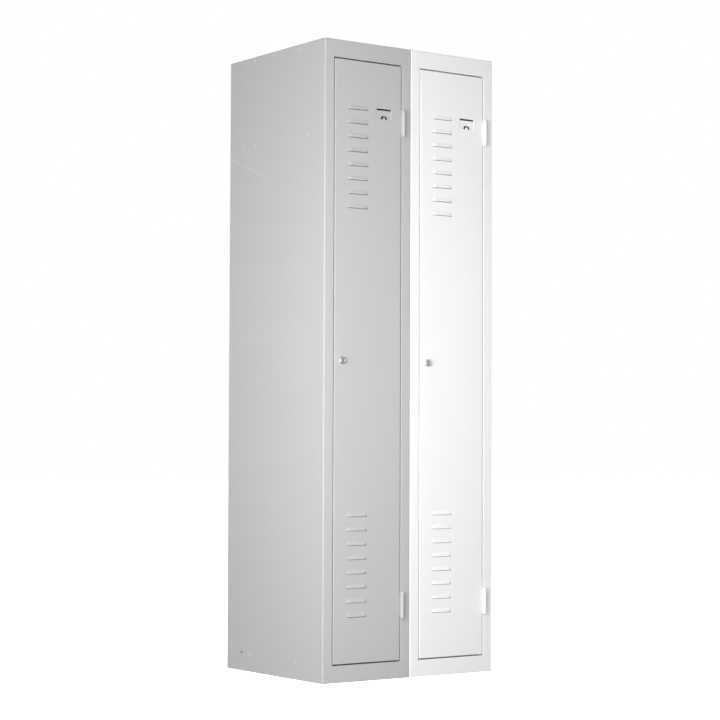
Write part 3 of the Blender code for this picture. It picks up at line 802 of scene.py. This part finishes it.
def pressed_door(prefix):
    """The whole door panel, with its louvres, card holder and lock hole."""
    door = Door(prefix)
    node = prefix + "_door_panel"
    piece = door_sheet(node + "_finish", door)
    inputs = {"Length": louvre_length, "Height": louvre_height, "Depth": louvre_depth,
              "Swell": louvre_swell, "Taper": louvre_taper, "Slit": louvre_slit,
              "Pitch": louvre_pitch, "Count": louvre_count, "Centre": door.louvre_x,
              "Middle": (door.foot + door.top) / 2, "Upper First": door.upper_first,
              "Lower First": door.lower_first, "Finish": finishes[slot_of[node]]}
    grow(piece, louvre_tree(inputs), inputs)
    welded(piece)
    wall = piece.modifiers.new("wall", "SOLIDIFY")
    wall.thickness = sheet
    wall.offset = -1
    wall.use_even_offset = True
    plain(piece)
    lock_low, lock_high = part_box(prefix + "_lock_body")
    lock_x, _, lock_z = middle(lock_low, lock_high)
    near, far = door.front - overrun, door.inner + overrun
    hole = turned("lock_hole", [(barrel_radius, near), (barrel_radius, far)], lock_sides)
    moved(hole, (lock_x, 0, lock_z))
    slot_place = (door.card_x, 0, door.slot_z)
    slot = bar("card_slot", slot_place, slot_width / 2, slot_height / 2, near, far)
    cut(piece, hole, slot, tongue_cutter(door))
    lean_tongue(piece, door)
    return dress(flattened(smooth(piece, degrees=32)), node)


def weld_lens():
    """A shallow round dimple, as a tool that cuts in along +X."""
    turns = [math.pi / 2 * i / weld_rings for i in range(weld_rings)]
    bowl = [(weld_radius * math.cos(turn), weld_depth * math.sin(turn)) for turn in turns]
    profile = [(weld_radius, -mark_rise), *bowl, (close, weld_depth)]
    return turned("weld_lens", profile, weld_sides, "X")


def knock_out_ring():
    """The groove round a knock-out, as a tool that cuts in along +X."""
    inner, outer = knock_out_radius - knock_out_groove, knock_out_radius + knock_out_groove
    section = [(inner, -mark_rise), (inner, 0), (knock_out_radius, knock_out_groove), (outer, 0),
               (outer, -mark_rise), (inner, -mark_rise)]
    return turned("knock_out_ring", section, weld_sides, "X")


def copies(name, shape, places, turn=0, spread=0):
    """One mesh with a copy of a shape at every place, turned about the upright."""
    spots = from_points(name, places, [])
    inputs = {"Shape": shape, "Turn": Vector((0, 0, turn)), "Spread": float(spread),
              "Finish": finishes["zinc_steel"]}
    grow(spots, copies_tree(inputs), inputs)
    bpy.data.objects.remove(shape)
    return spots


def rear_welds(node):
    """The row of dimples down a side sheet's rear flange, where the back is welded to it."""
    low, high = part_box(node)
    step = (high.z - low.z) / (rear_weld_count + 1)
    x = low.x + rear_weld_inset if "left" in node else high.x - rear_weld_inset
    places = [(x, high.y, low.z + step * (i + 1)) for i in range(rear_weld_count)]
    return copies("rear_welds", weld_lens(), places, -math.pi / 2, weld_spread)


def side_sheet(prefix, word, is_outer):
    """A side sheet with its rear welds, and on an outer side its weld rows and knock-outs."""
    node = f"{prefix}_{word}_side_panel"
    piece = copy_of(node)
    cut(piece, rear_welds(node))
    if is_outer:
        low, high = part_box(node)
        x, turn = (low.x, 0) if word == "left" else (high.x, math.pi)
        welds = [(x, low.y + behind, z) for z, row in weld_rows for behind in row]
        rings = [(x, low.y + behind, z) for behind, z in knock_outs]
        cut(piece, copies("side_welds", weld_lens(), welds, turn, weld_spread),
            copies("side_knock_outs", knock_out_ring(), rings, turn))
    return dress(rounded(piece, sheet_round), node)


def sheet_pieces(prefix):
    """One unit's folded sheets that need only soft edges, and its back, let down onto the base."""
    for word in ("top_panel", "base_panel", "hat_shelf", "door_stiffener"):
        node = f"{prefix}_{word}"
        dress(rounded(copy_of(node), sheet_round), node)
    node = prefix + "_back_panel"
    back = copy_of(node)
    low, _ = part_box(node)
    for vertex in back.data.vertices:
        if vertex.co.z < low.z + close:
            vertex.co.z -= back_gap
    dress(rounded(back, back_round), node)


def small_pieces(prefix):
    """Straps, hinges and fixings with softly broken edges."""
    words = ["left_rail_hanger", "right_rail_hanger", "upper_frame_leaf", "lower_frame_leaf",
             "upper_door_leaf", "lower_door_leaf", "upper_hinge_pin", "lower_hinge_pin", "lock_nut",
             "lock_cam", "upper_door_buffer", "lower_door_buffer", "coat_rail"]
    for word in words:
        node = f"{prefix}_{word}"
        dress(rounded(copy_of(node), sheet_round), node)


def lock_pieces(prefix):
    """The lock's polished head with its threaded barrel, and the plug with its keyway."""
    low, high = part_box(prefix + "_lock_body")
    x, _, z = middle(low, high)
    centre = (x, 0, z)
    face, seat, end = low.y, low.y + head_depth, high.y
    bore = plug_radius + plug_gap
    profile = [(bore, face + lock_edge), (bore + lock_edge, face), (bore + head_land, face)]
    rim_start, rim_face = head_radius - head_rim, face + head_dish
    profile.append(((bore + rim_start) / 2, face + head_dish / 4))
    profile.append((rim_start - head_dish, face + dish_share * head_dish))
    for i in range(rim_steps + 1):
        turn = math.pi / 2 * (i + 1) / (rim_steps + 1)
        outwards, back = head_rim * math.sin(turn), head_rim * (1 - math.cos(turn))
        profile.append((rim_start + outwards, rim_face + back))
    profile += [(head_radius, seat - lock_edge), (head_radius - lock_edge, seat),
                (barrel_radius, seat)]
    place = seat + thread_start
    while place < end - thread_pitch:
        profile += [(barrel_radius, place),
                    (barrel_radius - thread_depth, place + thread_pitch / 2)]
        place += thread_pitch
    profile += [(barrel_radius - thread_depth, end), (bore, end), (bore, face + lock_edge)]
    head = moved(turned(prefix + "_lock_body_finish", profile, lock_sides), centre)
    dress(smooth(head, degrees=50), prefix + "_lock_body")
    plug_low, plug_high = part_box(prefix + "_lock_plug")
    face, tail_start = plug_low.y, end + tail_gap
    profile = [(plug_radius - lock_edge, face), (plug_radius, face + lock_edge),
               (plug_radius, tail_start)]
    plug = moved(turned(prefix + "_lock_plug_finish", profile, lock_sides), centre)
    near, far = face - overrun, face + key_slot_depth
    keyway = bar("keyway", centre, key_slot_width / 2, key_slot_height / 2, near, far)
    half = ward_height / 2
    ward = block("ward", (x - ward_width, near, z - half), (x + close, far, z + half))
    half = tail_side / 2
    tail = bar("tail", centre, half, half, tail_start - close, plug_high.y)
    cut(plug, tail, operation="UNION")
    cut(plug, keyway, ward)
    dress(smooth(plug), prefix + "_lock_plug")


def rail_oval(width, height):
    """Points round a flat-sided upright oval, as pairs of y and z."""
    radius = width / 2
    straight = height / 2 - radius
    points = []
    for side in (1, -1):
        for i in range(hook_sides + 1):
            turn = math.pi * i / hook_sides
            across, above = radius * math.cos(turn), straight + radius * math.sin(turn)
            points.append((side * across, side * above))
    return points


def eye(width, inner, outer):
    """The hook's eye: an oval band with rounded rims."""
    half = width / 2
    loops = ((-half, outer), (half, outer), (half, inner), (-half, inner))
    points = [(x, y, z) for x, ring in loops for y, z in ring]
    count = len(outer)
    faces = []
    for i in range(4):
        for j in range(count):
            k, there = (j + 1) % count, (i + 1) % 4 * count
            faces.append((i * count + j, i * count + k, there + k, there + j))
    return rounded(welded(from_points("eye", points, faces)), hook_round, segments=3)


def hook_arms(hub):
    """The two arms as one bent wire with a small ball at either end."""
    total = 2 * hook_arc_half_angle * hook_arc_radius
    points, faces = [], []
    for i in range(hook_stations + 1):
        share = 0.5 - 0.5 * math.cos(math.pi * i / hook_stations)
        from_end = min(share, 1 - share) * total
        in_ball = hook_knob ** 2 - (from_end - hook_knob) ** 2
        ball = math.sqrt(max(in_ball, close ** 2)) if from_end < 2 * hook_knob else 0
        radius = max(ball, hook_wire if from_end > hook_knob else 0)
        turn = hook_arc_half_angle * (2 * share - 1)
        for j in range(hook_sides):
            side = 2 * math.pi * j / hook_sides
            reach = hook_arc_radius + radius * math.sin(side)
            points.append((radius * math.cos(side), reach * math.sin(turn),
                           hub - reach * math.cos(turn)))
    for i in range(hook_stations):
        here, there = i * hook_sides, (i + 1) * hook_sides
        for j in range(hook_sides):
            k = (j + 1) % hook_sides
            faces.append((here + j, here + k, there + k, there + j))
    last = hook_stations * hook_sides
    faces += [tuple(range(hook_sides)), tuple(range(last, last + hook_sides))]
    return welded(from_points("arms", points, faces))


def hook_pieces(prefix):
    """The three moulded hooks that slide on the rail."""
    rail_low, rail_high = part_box(prefix + "_coat_rail")
    width = rail_high.y - rail_low.y + 2 * hook_slide_gap
    height = rail_high.z - rail_low.z + 2 * hook_slide_gap
    inner = rail_oval(width, height)
    outer = rail_oval(width + 2 * hook_wall, height + 2 * hook_wall)
    _, rail_y, rail_z = middle(rail_low, rail_high)
    foot = -height / 2 - hook_wall / 2
    profile = [(hook_wire, foot - hook_stem), (hook_wire, foot - hook_wall), (hook_knob, foot)]
    for word in ("left", "middle", "right"):
        node = f"{prefix}_{word}_hook"
        low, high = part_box(node)
        piece = eye(high.x - low.x, inner, outer)
        stem = turned("stem", profile, hook_sides, "Z")
        arms = hook_arms(foot - hook_stem + hook_arc_radius)
        cut(piece, stem, arms, operation="UNION")
        x, _, _ = middle(low, high)
        moved(piece, (x, rail_y, rail_z))
        piece.name = node + "_finish"
        dress(smooth(piece), node)


def cross_screw(name, head_radius, head_height, shank_radius, length, point, axis):
    """A cross-headed screw with its seat at the origin and its threaded shank along the axis."""
    profile = [(close, -head_height), (head_radius * crown_share, -head_height),
               (head_radius * shoulder_share, screw_dome - head_height),
               (head_radius, 2 * screw_dome - head_height), (head_radius, 0), (shank_radius, 0)]
    place = screw_thread
    while place < length - point - screw_thread:
        profile += [(shank_radius - screw_thread_depth, place),
                    (shank_radius, place + screw_thread / 2)]
        place += screw_thread
    profile += [(shank_radius - screw_thread_depth, length - point), (close, length)]
    screw = smooth(turned(name, profile, screw_sides, axis))
    reach, half = head_radius * cross_share, cross_width / 2
    near, far = -head_height - overrun, cross_depth - head_height
    for a, b in ((reach, half), (half, reach)):
        if axis == "X":
            cut(screw, block("cross", (near, -a, -b), (far, a, b)))
        else:
            cut(screw, block("cross", (-a, near, -b), (a, far, b)))
    return screw


def joining_screws():
    """The four screws between the units, as one piece."""
    nodes = [f"{side}_{level}_joining_screw"
             for level in ("base", "top") for side in ("front", "rear")]
    low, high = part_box(nodes[0])
    head_height = joining_head_height
    shape = cross_screw("joining_screw", (high.z - low.z) / 2, head_height, joining_shank_radius,
                        high.x - low.x - head_height, joining_point, "X")
    places = []
    for node in nodes:
        low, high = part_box(node)
        _, y, z = middle(low, high)
        places.append((low.x + head_height, y, z))
    dress(smooth(copies("joining_screws", shape, places)), *nodes)


def cam_screw(prefix):
    """The screw that holds the cam, its head to the rear."""
    node = prefix + "_cam_screw"
    low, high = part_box(node)
    screw = cross_screw(node + "_finish", (high.z - low.z) / 2, cam_head_height, cam_shank_radius,
                        high.y - low.y - cam_head_height, 0, "Y")
    screw.data.transform(Matrix.Rotation(math.pi, 4, "Z"))
    x, _, z = middle(low, high)
    moved(screw, (x, high.y - cam_head_height, z))
    dress(screw, node)


def build_locker():
    make_finishes()
    for prefix, outer_word in outer_words.items():
        for word in ("left", "right"):
            side_sheet(prefix, word, word == outer_word)
        sheet_pieces(prefix)
        small_pieces(prefix)
        hook_pieces(prefix)
        lock_pieces(prefix)
        cam_screw(prefix)
        pressed_door(prefix)
    joining_screws()


# Studio
camera_place = Vector((-3.4876, -4.8999, 0.6610))
camera_yaw = math.radians(35.421)
camera_pitch = math.radians(2.392)
camera_roll = math.radians(0.216)
focal_length = 101.57
sensor = 36.0
key_place = (-2.9, -2.2, 1.08)
key_size = (3.0, 2.0)
key_power = 86
key_spread = math.radians(140)
side_fill_place = (-2.1, -1.1, 0.87)
side_fill_power = 6
front_fill_place = (-0.9, -2.1, 0.87)
front_fill_power = 6.5
side_fill_size = (0.7, 0.7)
front_fill_size = (0.7, 1.6)
fill_spread = math.radians(110)
card_place = (2.3, -3.0, 1.0)
card_size = (0.9, 0.9)
card_power = 3.5
card_spread = math.radians(180)
rear_place = (3.0, 3.4, 2.2)
rear_size = (2.2, 2.2)
rear_power = 95
rear_spread = math.radians(120)
room_aim = (-0.2, -0.2, 0.86)
ceiling_level = 0.27
ground_level = 0.13
front_level = 0.17
front_reach = (0.2, 0.9)
horizon_blur = 0.1
floor_glow = 0.85
floor_half = 30.0


def set_camera():
    """The photograph's view, level with the locker's lower half and to its left."""
    ahead = Vector((math.sin(camera_yaw), math.cos(camera_yaw), 0))
    forward = ahead * math.cos(camera_pitch) + Vector((0, 0, math.sin(camera_pitch)))
    level = Vector((math.cos(camera_yaw), -math.sin(camera_yaw), 0))
    upright = level.cross(forward)
    right = level * math.cos(camera_roll) + upright * math.sin(camera_roll)
    up = upright * math.cos(camera_roll) - level * math.sin(camera_roll)
    data = bpy.data.cameras.new("view")
    data.lens = focal_length
    data.sensor_width = sensor
    data.sensor_fit = "HORIZONTAL"
    data.clip_start = 0.05
    data.clip_end = 100
    camera = add_object("view", data)
    turn = Matrix((right, up, -forward)).transposed().to_4x4()
    camera.matrix_world = Matrix.Translation(camera_place) @ turn
    bpy.context.scene.camera = camera


def soft_box(name, place, size, watts, spread):
    """A rectangular lamp that looks at the middle of the locker."""
    data = bpy.data.lights.new(name, "AREA")
    data.shape = "RECTANGLE"
    data.size, data.size_y = size
    data.energy = watts
    data.spread = spread
    lamp = add_object(name, data)
    lamp.location = place
    lamp.rotation_euler = (Vector(room_aim) - Vector(place)).to_track_quat("-Z", "Y").to_euler()
    return lamp


def set_light():
    """Five soft boxes, one of them for reflections alone, in a room that the camera sees white."""
    soft_box("key", key_place, key_size, key_power, key_spread)
    soft_box("side_fill", side_fill_place, side_fill_size, side_fill_power, fill_spread)
    soft_box("front_fill", front_fill_place, front_fill_size, front_fill_power, fill_spread)
    soft_box("card", card_place, card_size, card_power, card_spread).visible_diffuse = False
    soft_box("rear", rear_place, rear_size, rear_power, rear_spread)
    world = bpy.data.worlds.new("room")
    world.use_nodes = True
    bpy.context.scene.world = world
    tree = Tree(world.node_tree)
    back = world.node_tree.nodes["Background"]
    _, y, z = tree.parts(tree.node("ShaderNodeTexCoord", out="Generated"))
    overhead = z.smooth(-horizon_blur, horizon_blur, ground_level, ceiling_level)
    level = overhead + (y * -1.0).smooth(*front_reach, 0.0, front_level)
    seen = tree.node("ShaderNodeLightPath", out="Is Camera Ray")
    strength = seen * (1.0 - level) + level
    tree.tree.links.new(strength.socket, back.inputs["Strength"])
    back.inputs["Color"].default_value = (1, 1, 1, 1)


def set_floor():
    """A plain pale floor."""
    corners = [(x * floor_half, y * floor_half, 0) for x, y in ((-1, -1), (1, -1), (1, 1), (-1, 1))]
    floor = from_points("floor", corners, [(0, 1, 2, 3)])
    material, tree, shader, place = material_tree("pale_floor")
    paint = tree.mixed(tree.noise(place, 1.5, 2.0), (0.86, 0.86, 0.86, 1), (0.90, 0.90, 0.90, 1))
    plug_in(tree, shader, Base_Color=paint, Roughness=0.8, Emission_Color=(1, 1, 1, 1),
            Emission_Strength=floor_glow)
    floor.data.materials.append(material)
    floor.visible_diffuse = False
    floor.visible_glossy = False


build_locker()
set_camera()
set_light()
set_floor()
bpy.context.scene.view_settings.view_transform = "Standard"
